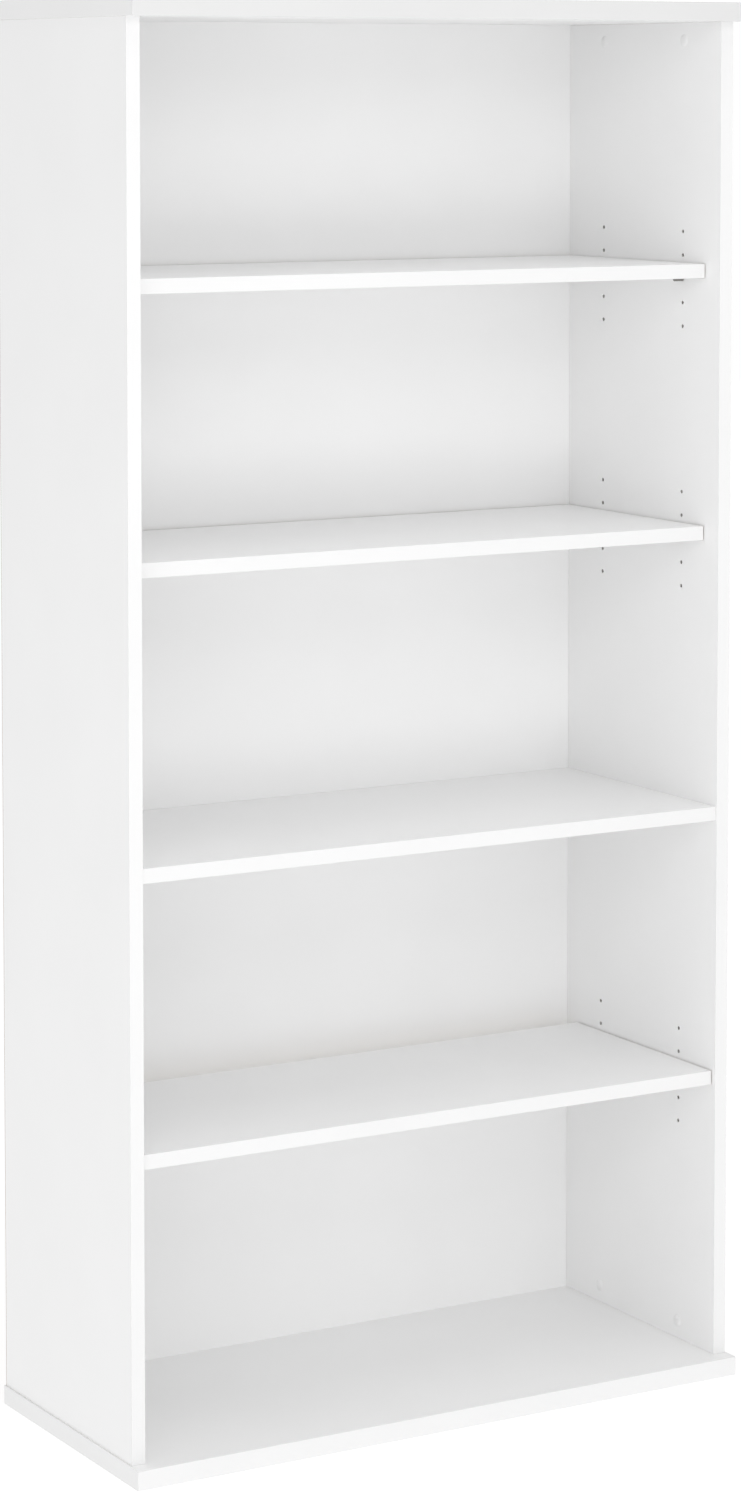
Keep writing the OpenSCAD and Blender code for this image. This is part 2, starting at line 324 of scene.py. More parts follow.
def object_from(bm, name, *finishes):
    """An object with this mesh and these finishes, linked to the scene"""
    mesh = bpy.data.meshes.new(name)
    bm.to_mesh(mesh)
    bm.free()
    for finish in finishes:
        mesh.materials.append(finish)
    obj = bpy.data.objects.new(name, mesh)
    bpy.context.scene.collection.objects.link(obj)
    return obj


def put(bm, name, finishes, *nodes):
    """Makes the piece: it rides on the body of the nodes that it stands for"""
    bmesh.ops.dissolve_degenerate(bm, dist=TOUCH, edges=bm.edges)
    obj = object_from(bm, name, *finishes)
    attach(obj, frame["nodes"][nodes[0]]["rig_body"])
    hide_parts(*nodes)
    return obj


def turned(bm, profile, steps):
    """Spins an outline of (radius, height) points, from axis to axis, into a closed solid"""
    start = [bm.verts.new((radius, 0, height)) for radius, height in profile]
    edges = [bm.edges.new(pair) for pair in zip(start, start[1:])]
    bmesh.ops.spin(
        bm,
        geom=start + edges,
        cent=(0, 0, 0),
        axis=(0, 0, 1),
        angle=math.tau,
        steps=steps,
        use_merge=True,
    )
    bmesh.ops.remove_doubles(bm, verts=bm.verts, dist=TOUCH)
    bmesh.ops.recalc_face_normals(bm, faces=bm.faces)


def quarter_round(side, top, radius, steps):
    """Outline of a rounded outer corner, from its side up and inwards to its top"""
    turns = [math.radians(90 * step / steps) for step in range(steps + 1)]
    return [
        (side - radius * (1 - math.cos(turn)), top - radius * (1 - math.sin(turn)))
        for turn in turns
    ]


def islands(bm):
    """The separate solids of a bmesh, each as a list of its corners"""
    left, found = set(bm.verts), []
    while left:
        group, rim = [], [left.pop()]
        while rim:
            corner = rim.pop()
            group.append(corner)
            beside = {edge.other_vert(corner) for edge in corner.link_edges} & left
            left -= beside
            rim += beside
        found.append(group)
    return found


class Solid:
    """A turned solid of the frame, read from its own corners. Its foot is where `way` starts."""

    def __init__(self, corners, axis, way):
        spots = [corner.co.copy() for corner in corners]
        self.axis, self.way = axis, way
        lo = Vector([min(s[a] for s in spots) for a in (X, Y, Z)])
        hi = Vector([max(s[a] for s in spots) for a in (X, Y, Z)])
        self.foot = (lo + hi) / 2
        self.foot[axis] = lo[axis] if way > 0 else hi[axis]
        self.length = hi[axis] - lo[axis]
        self.rings = {}  # the radii of its corners, by their height above the foot
        for s in spots:
            height = round(abs(s[axis] - self.foot[axis]), 6)
            off = s - self.foot
            off[axis] = 0
            self.rings.setdefault(height, set()).add(round(off.length, 6))

    @property
    def foot_r(self):
        """Radius of its foot"""
        return max(self.rings[min(self.rings)])

    @property
    def widest(self):
        """Radius of its widest part"""
        return max(map(max, self.rings.values()))

    def widest_span(self):
        """Lowest and highest ring of its widest part"""
        widest = self.widest
        heights = [h for h, radii in self.rings.items() if max(radii) > widest - TOUCH]
        return min(heights), max(heights)

    def matrix(self):
        """Puts a piece that was made along +Z, foot at the origin, in this solid's place"""
        along = Vector((0, 0, 0))
        along[self.axis] = self.way
        turn = Vector((0, 0, 1)).rotation_difference(along).to_matrix().to_4x4()
        return Matrix.Translation(self.foot) @ turn


def forwards(node, corners):
    """Along the axis"""
    return 1


def inwards(node, corners):
    """From a side panel towards the middle of the case"""
    return -1 if "right" in node else 1


def remade(node, axis, way_of, make, fittings):
    """A bmesh with each turned solid of a node made anew, foot to end along the axis"""
    source, bm = corners_of(node), bmesh.new()
    for corners in islands(source):
        solid = Solid(corners, axis, way_of(node, corners))
        join(bm, make(solid, fittings), solid.matrix())
    source.free()
    return bm


# ---- Finishes -----------------------------------------------------------------------------------


class Finish:
    """A procedural material, built from short calls. Patterns read the piece's own coordinates."""

    def __init__(self, name, base, roughness, metallic=0.0, specular=0.5):
        self.material = bpy.data.materials.new(name)
        self.material.use_nodes = True
        self.tree = self.material.node_tree
        self.shader = self.tree.nodes["Principled BSDF"]
        self.shader.inputs["Base Color"].default_value = (*base, 1)
        self.shader.inputs["Roughness"].default_value = roughness
        self.shader.inputs["Metallic"].default_value = metallic
        self.shader.inputs["Specular IOR Level"].default_value = specular
        self.material.diffuse_color = (*base, 1)
        self.place = self.node("ShaderNodeTexCoord").outputs["Object"]

    def node(self, kind, wires=None, values=None, **settings):
        made = self.tree.nodes.new(kind)
        for key, value in settings.items():
            setattr(made, key, value)
        for socket, value in (values or {}).items():
            made.inputs[socket].default_value = value
        for socket, source in (wires or {}).items():
            self.tree.links.new(source, made.inputs[socket])
        return made

    def stretched(self, *scale):
        """The piece's coordinates, scaled per axis"""
        return self.node("ShaderNodeMapping", {"Vector": self.place}, {"Scale": scale}).outputs[0]

    def noise(self, scale, detail=3.0, roughness=0.5, place=None):
        return self.node(
            "ShaderNodeTexNoise",
            {"Vector": place or self.place},
            {"Scale": scale, "Detail": detail, "Roughness": roughness},
        ).outputs["Fac"]

    def chips(self, scale, place, output="Color"):
        return self.node(
            "ShaderNodeTexVoronoi", {"Vector": place}, {"Scale": scale}, feature="F1"
        ).outputs[output]

    def spread(self, source, low, high, start=0.3, end=0.7):
        """Maps a pattern's middle range to values from low to high"""
        return self.node(
            "ShaderNodeMapRange",
            {"Value": source},
            {"From Min": start, "From Max": end, "To Min": low, "To Max": high},
        ).outputs["Result"]

    def ramp(self, source, *stops):
        """Colours by (position, colour) stops"""
        made = self.node("ShaderNodeValToRGB", {"Fac": source})
        elements = made.color_ramp.elements
        while len(elements) < len(stops):
            elements.new(0.5)
        for element, (place, tone) in zip(elements, stops):
            element.position, element.color = place, (*tone, 1)
        return made.outputs["Color"]

    def math(self, operation, first, second):
        made = self.node("ShaderNodeMath", operation=operation)
        for socket, value in zip(made.inputs, (first, second)):
            if isinstance(value, (int, float)):
                socket.default_value = value
            else:
                self.tree.links.new(value, socket)
        return made.outputs[0]

    def sum(self, *shares):
        """Adds (pattern, share) pairs into one pattern"""
        total = None
        for source, share in shares:
            part = self.math("MULTIPLY", source, share)
            total = part if total is None else self.math("ADD", total, part)
        return total

    def tint(self, source):
        self.tree.links.new(source, self.shader.inputs["Base Color"])

    def vary(self, source, tone, low, high, start=0.3, end=0.7):
        """Lets a pattern's middle range take one colour from a darker to a lighter shade"""
        stops = (0.0, shade(tone, low)), (1.0, shade(tone, high))
        self.tint(self.ramp(self.spread(source, 0, 1, start, end), *stops))

    def emit(self, strength):
        """Gives off white light"""
        self.shader.inputs["Emission Color"].default_value = (1, 1, 1, 1)
        self.shader.inputs["Emission Strength"].default_value = strength

    def gloss(self, source):
        self.tree.links.new(source, self.shader.inputs["Roughness"])

    def relief(self, *heights):
        """Bump from (pattern, height in metres) pairs, one over the other"""
        under = None
        for source, depth in heights:
            wires = {"Height": source}
            if under:
                wires["Normal"] = under
            under = self.node(
                "ShaderNodeBump", wires, {"Strength": 1.0, "Distance": depth}
            ).outputs[0]
        self.tree.links.new(under, self.shader.inputs["Normal"])


def shade(tone, factor):
    """A colour made lighter or darker by a factor"""
    return tuple(min(1.0, channel * factor) for channel in tone)


def greyed(tone, share):
    """A colour moved this share of the way to its own grey"""
    grey = sum(tone) / 3
    return tuple(channel + (grey - channel) * share for channel in tone)


def melamine(name, tone):
    """Satin white laminate: almost even, with the paper's faint cloud and a fine pressed grain"""
    made = Finish(name, tone, 0.42, specular=0.42)
    made.vary(made.noise(7, 2), tone, 0.992, 1.006)
    made.gloss(made.spread(made.noise(160, 3), 0.38, 0.46))
    made.relief((made.noise(2600, 2, 0.6), 0.000016))
    return made.material


def edging_plastic(name, tone, along):
    """White plastic banding: glossier than the laminate, with fine lines along its length"""
    made = Finish(name, tone, 0.36, specular=0.45)
    stretch = [1400, 1400, 1400]
    stretch[along] = 12
    lines = made.noise(1, 3, 0.55, made.stretched(*stretch))
    made.vary(made.noise(9, 2), tone, 0.992, 1.006)
    made.gloss(made.spread(lines, 0.33, 0.41))
    made.relief((lines, 0.000012))
    return made.material


def particleboard(name, dark, light):
    """Raw core: flat chips of several tones, with a rough sawn surface"""
    made = Finish(name, shade(light, 0.85), 0.92, specular=0.2)
    coarse, fine = 430, 1300  # chips in a metre
    flat = made.stretched(1.0, 1.0, 1.6)
    chips, dust = (
        made.node("ShaderNodeSeparateColor", {"Color": made.chips(scale, flat)})
        for scale in (coarse, fine)
    )
    chip, crumb = chips.outputs["Red"], dust.outputs["Green"]
    made.tint(
        made.ramp(
            made.sum((chip, 0.55), (crumb, 0.35), (made.noise(330, 2), 0.15)),
            (0.05, tuple(dark)),
            (0.35, shade(light, 0.72)),
            (0.7, tuple(light)),
            (0.98, shade(light, 1.18)),
        )
    )
    gaps = made.chips(coarse, flat, output="Distance")
    made.relief((gaps, 0.0004), (crumb, 0.00015))
    return made.material


def screened_hardboard(name, tone, pitch):
    """Raw rear of the back panel: brown felted fibre with the press screen's fine mesh"""
    made = Finish(name, tone, 0.8, specular=0.25)
    fibre = made.noise(700, 4, 0.65)
    mix = made.sum((fibre, 0.82), (made.noise(11, 3), 0.18))
    made.vary(mix, tone, 0.8, 1.16, 0.36, 0.64)
    made.gloss(made.spread(fibre, 0.72, 0.88))
    wave_scale = math.tau / 20 / pitch  # at a scale of 1 the pattern repeats every tau / 20
    weave = [
        made.node(
            "ShaderNodeTexWave",
            {"Vector": made.place},
            {"Scale": wave_scale, "Distortion": 0.0, "Detail": 0.0},
            wave_type="BANDS",
            bands_direction=way,
        ).outputs["Fac"]
        for way in ("X", "Z")
    ]
    made.relief((made.math("MAXIMUM", *weave), 0.00012), (fibre, 0.00012))
    return made.material


def turned_steel(name, tone, axis, roughness=0.3):
    """Plated steel with fine turning rings across its axis"""
    made = Finish(name, tone, roughness, metallic=1.0)
    stretch = [60, 60, 60]
    stretch[axis] = 5200
    rings = made.noise(1, 2, 0.5, made.stretched(*stretch))
    made.vary(made.noise(900, 3), tone, 0.85, 1.12)
    made.gloss(made.spread(rings, roughness - 0.06, roughness + 0.1))
    made.relief((rings, 0.00003))
    return made.material


def cast_zinc(name, tone):
    """Die-cast zinc: dull, faintly pitted"""
    made = Finish(name, tone, 0.48, metallic=1.0)
    grain = made.noise(1500, 4, 0.6)
    made.vary(made.noise(260, 3), tone, 0.82, 1.1)
    made.gloss(made.spread(grain, 0.4, 0.6))
    made.relief((grain, 0.00006))
    return made.material


def dowel_beech(name, tone, axis):
    """Beech with its grain and short flecks along the dowel"""
    made = Finish(name, tone, 0.7, specular=0.3)
    stretch = [900, 900, 900]
    stretch[axis] = 55
    grain = made.noise(1, 4, 0.6, made.stretched(*stretch))
    stretch[axis] = 400
    flecks = made.noise(1.6, 2, 0.5, made.stretched(*stretch))
    made.vary(made.sum((grain, 0.65), (flecks, 0.35)), tone, 0.7, 1.15, 0.36, 0.62)
    made.relief((grain, 0.00008))
    return made.material


def moulded_plastic(name, tone):
    """White moulded plastic with a fine spark texture"""
    made = Finish(name, tone, 0.5)
    spark = made.noise(3200, 2)
    made.vary(made.noise(120, 2), tone, 0.985, 1.01)
    made.gloss(made.spread(spark, 0.42, 0.56))
    made.relief((spark, 0.00002))
    return made.material


def nail_wire(name, tone):
    """Bright drawn steel, a little scuffed"""
    made = Finish(name, tone, 0.32, metallic=1.0)
    scuffs = made.noise(1900, 3, 0.7)
    made.vary(scuffs, tone, 0.75, 1.1)
    made.gloss(made.spread(scuffs, 0.24, 0.44))
    made.relief((scuffs, 0.00004))
    return made.material


def shared(name, make, *args):
    """The finish of this name, made once"""
    return bpy.data.materials.get(name) or make(name, *args)


def laminate(scene):
    """Finish of the boards' broad faces"""
    return shared("white_melamine", melamine, scene.bookcase_boards.laminate)


def core(scene):
    """Finish of the boards' cut edges"""
    boards = scene.bookcase_boards
    return shared("raw_particleboard", particleboard, boards.chip_dark, boards.chip_light)


def drilled_core(scene):
    """Walls of the holes: the same core, greyed and paled by its dust"""
    boards = scene.bookcase_boards
    tones = [shade(greyed(tone, 0.85), 1.15) for tone in (boards.chip_dark, boards.chip_light)]
    return shared("drilled_particleboard", particleboard, *tones)


# ---- Boards and edging --------------------------------------------------------------------------


def make_board(scene, node):
    """A board: laminate on its broad faces, raw core on its cut edges, dusty core in its holes"""
    lo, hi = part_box(node)
    thin = min((X, Y, Z), key=lambda axis: hi[axis] - lo[axis])
    bm = merged(node)
    arris = scene.bookcase_boards.arris
    soften_outline(bm, lo, hi, arris)
    reach = arris + TOUCH
    for face in bm.faces:
        middle = face.calc_center_median()
        gaps = [min(middle[axis] - lo[axis], hi[axis] - middle[axis]) for axis in (X, Y, Z)]
        if gaps[thin] <= reach and abs(face.normal[thin]) > 0.5:
            face.material_index = 0
        else:
            face.material_index = 1 if min(gaps) <= reach else 2
        if skewed(face):
            face.smooth = True
    break_shading(bm, BOARD_CREASE)
    finishes = [laminate(scene), core(scene), drilled_core(scene)]
    piece = put(bm, "finished_" + node, finishes, node)


def rounded_strip(lo, hi, axis, outward, radius, end_radius, butted=None):
    """A strip of banding with its outer edges rounded, except where it butts at this Y"""
    bm = bmesh.new()
    block(bm, lo, hi)
    outer = (hi if outward > 0 else lo)[axis]

    def outside(corner):
        return abs(corner.co[axis] - outer) < TOUCH

    def free(edge):
        return butted is None or any(abs(c.co[Y] - butted) > TOUCH for c in edge.verts)

    through = [e for e in bm.edges if sum(map(outside, e.verts)) == 1 and free(e)]
    soften(bm, through, end_radius, 3)
    outline = [e for e in bm.edges if all(map(outside, e.verts)) and free(e)]
    soften(bm, outline, radius, 4)
    return bm


def make_edging(scene, board):
    """The banding of a board: a strip along its front, and for a slab one along each end"""
    settings = scene.bookcase_boards
    node = BANDED[board]
    board_lo, board_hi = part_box(board)
    lo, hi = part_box(node)
    joint_y = board_lo[Y]
    radius = settings.band_round
    slab = board in SLABS
    along = Z if "side" in board else X
    # The top panel's front edging takes the greyer banding: painted shade for the dimmer light at
    # the top of the case
    if board == "top_panel":
        name, tone = "top_banding", settings.top_banding
    else:
        name, tone = ("upright_banding" if along == Z else "level_banding"), settings.banding
    finishes = [shared(name, edging_plastic, tone, along)]
    bm = rounded_strip(
        lo, (hi[X], joint_y, hi[Z]), Y, -1, radius, radius if slab else settings.arris
    )
    if slab:
        finishes.append(shared("end_banding", edging_plastic, settings.end_banding, Y))
        for side, inner, outer in ((-1, board_lo[X], lo[X]), (1, board_hi[X], hi[X])):
            strip = rounded_strip(
                (min(inner, outer), joint_y, lo[Z]),
                (max(inner, outer), hi[Y], hi[Z]),
                X,
                side,
                radius,
                settings.arris,
                butted=joint_y,
            )
            for face in strip.faces:
                face.material_index = 1
            join(bm, strip)
    piece = put(bm, "finished_" + node, finishes, node)


class BOOKCASE_OT_boards(bpy.types.Operator):
    """Finish the top, base, side panels and fixed shelf"""

    bl_idname = "bookcase.boards"
    bl_label = "Boards"

    def execute(self, context):
        for node in BOARDS:
            make_board(context.scene, node)
        return {"FINISHED"}


class BOOKCASE_OT_loose_shelves(bpy.types.Operator):
    """Finish the three adjustable shelves"""

    bl_idname = "bookcase.loose_shelves"
    bl_label = "Adjustable shelves"

    def execute(self, context):
        for node in LOOSE_SHELVES:
            make_board(context.scene, node)
        return {"FINISHED"}


class BOOKCASE_OT_edging(bpy.types.Operator):
    """Glue banding to the boards' visible edges"""

    bl_idname = "bookcase.edging"
    bl_label = "Edging"

    def execute(self, context):
        for board in BANDED:
            make_edging(context.scene, board)
        return {"FINISHED"}


class BOOKCASE_OT_back_panel(bpy.types.Operator):
    """Finish the thin back panel: white in front, screened hardboard behind"""

    bl_idname = "bookcase.back_panel"
    bl_label = "Back panel"

    def execute(self, context):
        scene = context.scene
        lo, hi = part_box("back_panel")
        bm = merged("back_panel")
        boards = scene.bookcase_boards
        soften_outline(bm, lo, hi, boards.arris, segments=1)
        for face in bm.faces:
            face.material_index = 0 if face.normal[Y] < -0.9 else 1
            face.smooth = skewed(face)
        break_shading(bm, BOARD_CREASE)
        rear = shared(
            "screened_hardboard", screened_hardboard, boards.hardboard, boards.screen_pitch
        )
        piece = put(bm, "finished_back_panel", [laminate(scene), rear], "back_panel")
        return {"FINISHED"}


# ---- Fittings -----------------------------------------------------------------------------------


def make_pin(pin, fittings):
    """A turned shelf pin: ringed spigot, chamfered shoulder, ringed stud with a rounded end"""
    spigot_r, stud_r = pin.foot_r, pin.widest
    shoulder, stud_top = pin.widest_span()
    chamfer, groove = fittings.pin_chamfer, fittings.pin_groove

    def ring(radius, start):
        """A groove with sloping sides"""
        depths = (0, groove, groove, 0)
        return [(radius - depth, start + n * groove) for n, depth in enumerate(depths)]

    outline = [(0, 0), (spigot_r - chamfer, 0), (spigot_r, chamfer)]
    for place in RING_PLACES:
        outline += ring(spigot_r, shoulder * place)
    outline += [(spigot_r, shoulder), (stud_r - chamfer, shoulder), (stud_r, shoulder + chamfer)]
    outline += ring(stud_r, shoulder + 3 * chamfer)
    outline += quarter_round(stud_r, pin.length, pin.length - stud_top, 5)
    outline.append((0, pin.length))
    bm = bmesh.new()
    turned(bm, outline, fittings.turned_steps)
    crease(bm)
    return bm


class BOOKCASE_OT_shelf_pins(bpy.types.Operator):
    """Turn the twelve shelf pins"""

    bl_idname = "bookcase.shelf_pins"
    bl_label = "Shelf pins"

    def execute(self, context):
        fittings = context.scene.bookcase_fittings
        # The pins' steel is partly painted shade, darkened for the shade under the shelves
        steel = shared("turned_pin_steel", turned_steel, fittings.pin_steel, X)
        for node in nodes_named("_pin_"):
            bm = remade(node, X, inwards, make_pin, fittings)
            put(bm, "finished_" + node, [steel], node)
        return {"FINISHED"}


class BOOKCASE_OT_cam_locks(bpy.types.Operator):
    """Cast the twelve cam locks"""

    bl_idname = "bookcase.cam_locks"
    bl_label = "Cam locks"

    def execute(self, context):
        fittings = context.scene.bookcase_fittings
        zinc = shared("cast_zinc", cast_zinc, fittings.cam_zinc)
        for node in [name for name in nodes_named("_cam_") if name.endswith(("_left", "_right"))]:
            bm = merged(node)
            sharp = [e for e in bm.edges if e.is_manifold and e.calc_face_angle(0) > CAM_EDGE]
            soften(bm, sharp, fittings.cam_arris, 1)
            crease(bm, 35)
            put(bm, "finished_" + node, [zinc], node)
        return {"FINISHED"}


def make_cover(cover, fittings):
    """A press-in cover: a shallow dome with a soft rim, and its peg behind"""
    bm = bmesh.new()
    rim_r, peg_r = cover.widest, cover.foot_r
    back = cover.widest_span()[0]
    dome = min(fittings.cover_dome, (cover.length - back) * 0.9)
    shoulder = cover.length - dome
    lip = (shoulder - back) * 0.8
    point_r, taper = peg_r * 0.8, peg_r * 0.3
    outline = [(0, 0), (point_r, 0), (peg_r, taper), (peg_r, back), (rim_r, back)]
    outline += quarter_round(rim_r, shoulder, lip, 4)
    for step in range(1, DOME_STEPS + 1):
        share = 1 - step / DOME_STEPS
        outline.append(((rim_r - lip) * share, shoulder + dome * (1 - share**3)))
    turned(bm, outline, fittings.turned_steps)
    crease(bm, 40)
    return bm


class BOOKCASE_OT_cam_covers(bpy.types.Operator):
    """Press covers over the cam locks of the side panels"""

    bl_idname = "bookcase.cam_covers"
    bl_label = "Cam covers"

    def execute(self, context):
        fittings = context.scene.bookcase_fittings
        plastic = shared("moulded_cover_plastic", moulded_plastic, fittings.cover_plastic)
        for node in nodes_named("_cam_covers"):
            bm = remade(node, X, inwards, make_cover, fittings)
            put(bm, "finished_" + node, [plastic], node)
        return {"FINISHED"}


def make_dowel(dowel, fittings):
    """A fluted dowel with chamfered ends"""
    bm = bmesh.new()
    flutes, radius, end_r = fittings.flutes, dowel.widest, dowel.foot_r
    rim = bmesh.ops.create_circle(bm, cap_ends=True, radius=radius, segments=flutes * 4)["verts"]
    for corner in rim[::4]:
        corner.co *= 1 - fittings.flute_depth / radius
    bmesh.ops.scale(bm, vec=(end_r / radius, end_r / radius, 1), verts=rim)
    chamfer = radius - end_r
    foot = cap = bm.faces[:]
    for level, size in (
        (chamfer, radius / end_r),
        (dowel.length - chamfer, 1),
        (dowel.length, end_r / radius),
    ):
        grown = bmesh.ops.extrude_face_region(bm, geom=cap)["geom"]
        if cap is not foot:
            bmesh.ops.delete(bm, geom=cap, context="FACES_ONLY")
        corners = [part for part in grown if isinstance(part, bmesh.types.BMVert)]
        bmesh.ops.scale(bm, vec=(size, size, 1), verts=corners)
        bmesh.ops.translate(bm, vec=(0, 0, level - corners[0].co.z), verts=corners)
        cap = [part for part in grown if isinstance(part, bmesh.types.BMFace)]
    bmesh.ops.recalc_face_normals(bm, faces=bm.faces)
    return bm


class BOOKCASE_OT_dowels(bpy.types.Operator):
    """Make the fluted dowels of each joint"""

    bl_idname = "bookcase.dowels"
    bl_label = "Dowels"

    def execute(self, context):
        fittings = context.scene.bookcase_fittings
        for node in nodes_named("_dowels"):
            axis = X if node.startswith("fixed") else Z
            beech = shared("dowel_beech_" + "xyz"[axis], dowel_beech, fittings.beech, axis)
            bm = remade(node, axis, forwards, make_dowel, fittings)
            put(bm, "finished_" + node, [beech], node)
        return {"FINISHED"}


def bolt_way(node, corners):
    """Direction of a bolt's head: into a side panel, or from a side panel into the fixed shelf"""
    if node.startswith("top"):
        return -1
    return 1 if node.startswith("base") or sum(corner.co.x for corner in corners) < 0 else -1


def make_thread(core_r, end, fittings):
    """A ridge that winds round a bolt's core and stops short of this height"""
    crest, pitch = fittings.thread_depth, fittings.thread_pitch
    per_turn = fittings.turned_steps // 2
    start = crest * 1.2
    steps = int((end - start - 2 * crest) / pitch * per_turn)
    root_r, tip_r = core_r - 0.1 * crest, core_r + crest
    bm = bmesh.new()
    tooth = [
        bm.verts.new((radius, 0, start + crest * rise))
        for radius, rise in ((root_r, 0), (tip_r, 0.75), (tip_r, 0.85), (root_r, 1.6))
    ]
    face = bm.faces.new(tooth)
    bmesh.ops.spin(
        bm,
        geom=[face, *face.edges, *tooth],
        cent=(0, 0, 0),
        axis=(0, 0, 1),
        dvec=(0, 0, pitch / per_turn),
        angle=math.tau * steps / per_turn,
        steps=steps,
    )
    bmesh.ops.recalc_face_normals(bm, faces=bm.faces)
    crease(bm, 35)
    return bm


def make_bolt(bolt, fittings):
    """A cam bolt: threaded end, flange, shank, neck, and a head for the cam"""
    bm = bmesh.new()
    crest, bevel = fittings.thread_depth, fittings.cam_arris
    flange = bolt.widest_span()[0]
    core_r = max(max(radii) for h, radii in bolt.rings.items() if h < flange - TOUCH) - crest
    levels = [flange, *sorted(h for h in bolt.rings if h > flange + TOUCH)]
    point_r, taper = core_r * 0.55, crest * 1.5
    outline = [(0, 0), (point_r, 0), (core_r, taper), (core_r, flange)]
    last = core_r
    for low, high in zip(levels, levels[1:]):
        radius = min(max(bolt.rings[low]), max(bolt.rings[high]))
        if radius > last:
            outline += [(radius - bevel, low), (radius, low + bevel)]
        else:
            outline += [(last, low - bevel), (last - bevel, low), (radius, low)]
        last = radius
    outline += [(last, bolt.length - bevel), (last - bevel, bolt.length), (0, bolt.length)]
    turned(bm, outline, fittings.turned_steps)
    crease(bm, 35)
    join(bm, make_thread(core_r, flange, fittings))
    return bm


class BOOKCASE_OT_cam_bolts(bpy.types.Operator):
    """Make the threaded bolts that the cam locks pull on"""

    bl_idname = "bookcase.cam_bolts"
    bl_label = "Cam bolts"

    def execute(self, context):
        fittings = context.scene.bookcase_fittings
        for node in nodes_named("_cam_bolts"):
            axis = X if node.startswith("fixed") else Z
            name = "plated_bolt_steel_" + "xyz"[axis]
            steel = shared(name, turned_steel, fittings.bolt_steel, axis, 0.34)
            bm = remade(node, axis, bolt_way, make_bolt, fittings)
            put(bm, "finished_" + node, [steel], node)
        return {"FINISHED"}


def make_nail(nail, fittings):
    """A nail with a low domed head and a drawn point"""
    bm = bmesh.new()
    head_r, under = nail.widest, nail.widest_span()[0]
    wire = {h: max(radii) for h, radii in nail.rings.items() if h < under - TOUCH}
    wire_r = max(wire.values())
    tip = min(h for h, radius in wire.items() if radius > wire_r - TOUCH)
    dome = min(fittings.nail_dome, (nail.length - under) * 0.8)
    point = (wire_r * 0.35, tip * 0.45)
    outline = [(0, 0), point, (wire_r, tip), (wire_r, under), (head_r, under)]
    for share in (1, 0.8, 0.6, 0.4, 0.2, 0):
        outline.append((head_r * share, nail.length - dome * share * share))
    turned(bm, outline, fittings.turned_steps // 2)
    crease(bm, 35)
    return bm


class BOOKCASE_OT_nails(bpy.types.Operator):
    """Drive the nails of the back panel"""

    bl_idname = "bookcase.nails"
    bl_label = "Back panel nails"

    def execute(self, context):
        fittings = context.scene.bookcase_fittings
        wire = shared("nail_wire", nail_wire, fittings.nail_steel)
        bm = remade("back_panel_nails", Y, forwards, make_nail, fittings)
        piece = put(bm, "finished_back_panel_nails", [wire], "back_panel_nails")
        return {"FINISHED"}


# ---- Stage --------------------------------------------------------------------------------------

# Each lamp's side, and its place from the bookcase's middle, in heights of the bookcase
SOFTBOXES = (
    ("corner", 1.1, (-1.5, -1.6, 0.0)),
    ("high", 0.7, (-0.4, -1.8, 1.1)),
    ("top", 1.5, (0, -0.4, 1.9)),
    ("low", 0.6, (-0.2, -1.9, -0.25)),
)


def stage_object(bm, name, material):
    """A floor or backdrop, which isn't part of the bookcase"""
    obj = object_from(bm, name, material)
    return obj


def softbox(name, watts, size, place, target):
    """A square light that faces a point"""
    light = bpy.data.lights.new(name, "AREA")
    light.shape, light.size, light.energy = "SQUARE", size, watts
    lamp = bpy.data.objects.new(name, light)
    bpy.context.scene.collection.objects.link(lamp)
    lamp.location = place
    lamp.rotation_euler = (Vector(target) - Vector(place)).to_track_quat("-Z", "Y").to_euler()
    lamp.visible_camera = False


class BOOKCASE_OT_stage(bpy.types.Operator):
    """Set up the camera, the pale floor and the soft studio light"""

    bl_idname = "bookcase.stage"
    bl_label = "Stage"

    def execute(self, context):
        scene, stage = context.scene, context.scene.bookcase_stage
        lens = bpy.data.cameras.new("camera")
        lens.lens, lens.shift_y = stage.camera_lens, stage.camera_shift
        lens.clip_start, lens.clip_end = 0.1, 200
        camera = bpy.data.objects.new("camera", lens)
        scene.collection.objects.link(camera)
        camera.location = stage.camera_place
        camera.rotation_euler = (math.pi / 2 - stage.camera_tilt, 0, -stage.camera_turn)
        scene.camera = camera

        scene.view_settings.view_transform = "Standard"
        world = bpy.data.worlds.new("white_surround")
        world.use_nodes = True
        sky = world.node_tree.nodes["Background"]
        sky.inputs["Color"].default_value = (1, 1, 1, 1)
        sky.inputs["Strength"].default_value = stage.surround
        scene.world = world

        paint = Finish("floor_paint", stage.floor_paint, 0.9, specular=0.1)
        paint.emit(stage.floor_glow)
        paint.vary(paint.noise(2, 2), stage.floor_paint, 0.99, 1.0)
        bm = bmesh.new()
        bmesh.ops.create_grid(bm, x_segments=1, y_segments=1, size=stage.floor_size / 2)
        stage_object(bm, "floor", paint.material)

        bm = bmesh.new()
        bmesh.ops.create_icosphere(bm, subdivisions=4, radius=stage.floor_size)
        bmesh.ops.reverse_faces(bm, faces=bm.faces)
        glow = Finish("white_backdrop", (0, 0, 0), 1.0, specular=0.0)
        glow.emit(1.0)
        backdrop = stage_object(bm, "backdrop", glow.material)
        backdrop.visible_diffuse = backdrop.visible_glossy = False
        backdrop.visible_transmission = backdrop.visible_shadow = False

        lo, hi = CAD_BOX
        middle, height = (lo + hi) / 2, hi.z - lo.z
        for name, size, place in SOFTBOXES:
            watts = getattr(stage, name + "_light")
            place = middle + Vector(place) * height
            softbox(name + "_softbox", watts, size * height, place, middle)
        return {"FINISHED"}


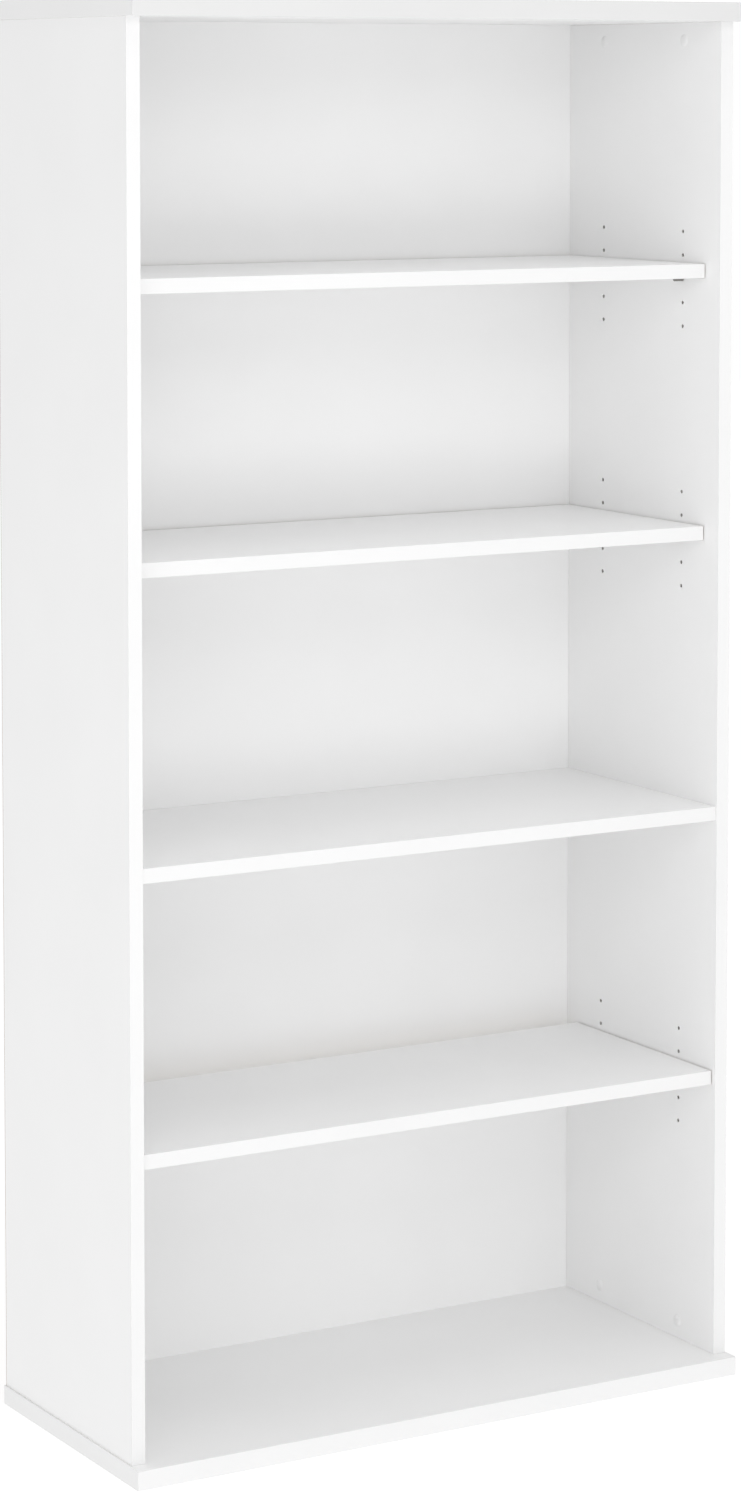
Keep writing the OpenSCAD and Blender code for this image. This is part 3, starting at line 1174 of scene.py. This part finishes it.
# ---- Add-on -------------------------------------------------------------------------------------

SETTINGS = {
    "bookcase_boards": BookcaseBoardSettings,
    "bookcase_fittings": BookcaseFittingSettings,
    "bookcase_stage": BookcaseStageSettings,
}
OPERATORS = (
    BOOKCASE_OT_stage,
    BOOKCASE_OT_boards,
    BOOKCASE_OT_loose_shelves,
    BOOKCASE_OT_edging,
    BOOKCASE_OT_back_panel,
    BOOKCASE_OT_shelf_pins,
    BOOKCASE_OT_cam_locks,
    BOOKCASE_OT_cam_bolts,
    BOOKCASE_OT_dowels,
    BOOKCASE_OT_cam_covers,
    BOOKCASE_OT_nails,
)


class BOOKCASE_PT_sidebar(bpy.types.Panel):
    """Lists the steps in order, with their sizes and colours"""

    bl_idname = "BOOKCASE_PT_sidebar"
    bl_label = "Bookcase"
    bl_space_type = "VIEW_3D"
    bl_region_type = "UI"
    bl_category = "Bookcase"

    def draw(self, context):
        for operator in OPERATORS:
            self.layout.operator(operator.bl_idname)
        for name, group in SETTINGS.items():
            box = self.layout.box()
            box.label(text=group.__doc__)
            for key in group.__annotations__:
                box.prop(getattr(context.scene, name), key)


def register():
    for cls in (*SETTINGS.values(), *OPERATORS, BOOKCASE_PT_sidebar):
        bpy.utils.register_class(cls)
    for name, group in SETTINGS.items():
        setattr(bpy.types.Scene, name, PointerProperty(type=group))


def unregister():
    for name in SETTINGS:
        delattr(bpy.types.Scene, name)
    for cls in reversed((*SETTINGS.values(), *OPERATORS, BOOKCASE_PT_sidebar)):
        bpy.utils.unregister_class(cls)


def main():
    register()
    bpy.ops.bookcase.stage()
    bpy.ops.bookcase.boards()
    bpy.ops.bookcase.loose_shelves()
    bpy.ops.bookcase.edging()
    bpy.ops.bookcase.back_panel()
    bpy.ops.bookcase.shelf_pins()
    bpy.ops.bookcase.cam_locks()
    bpy.ops.bookcase.cam_bolts()
    bpy.ops.bookcase.dowels()
    bpy.ops.bookcase.cam_covers()
    bpy.ops.bookcase.nails()


if __name__ == "__main__":
    main()
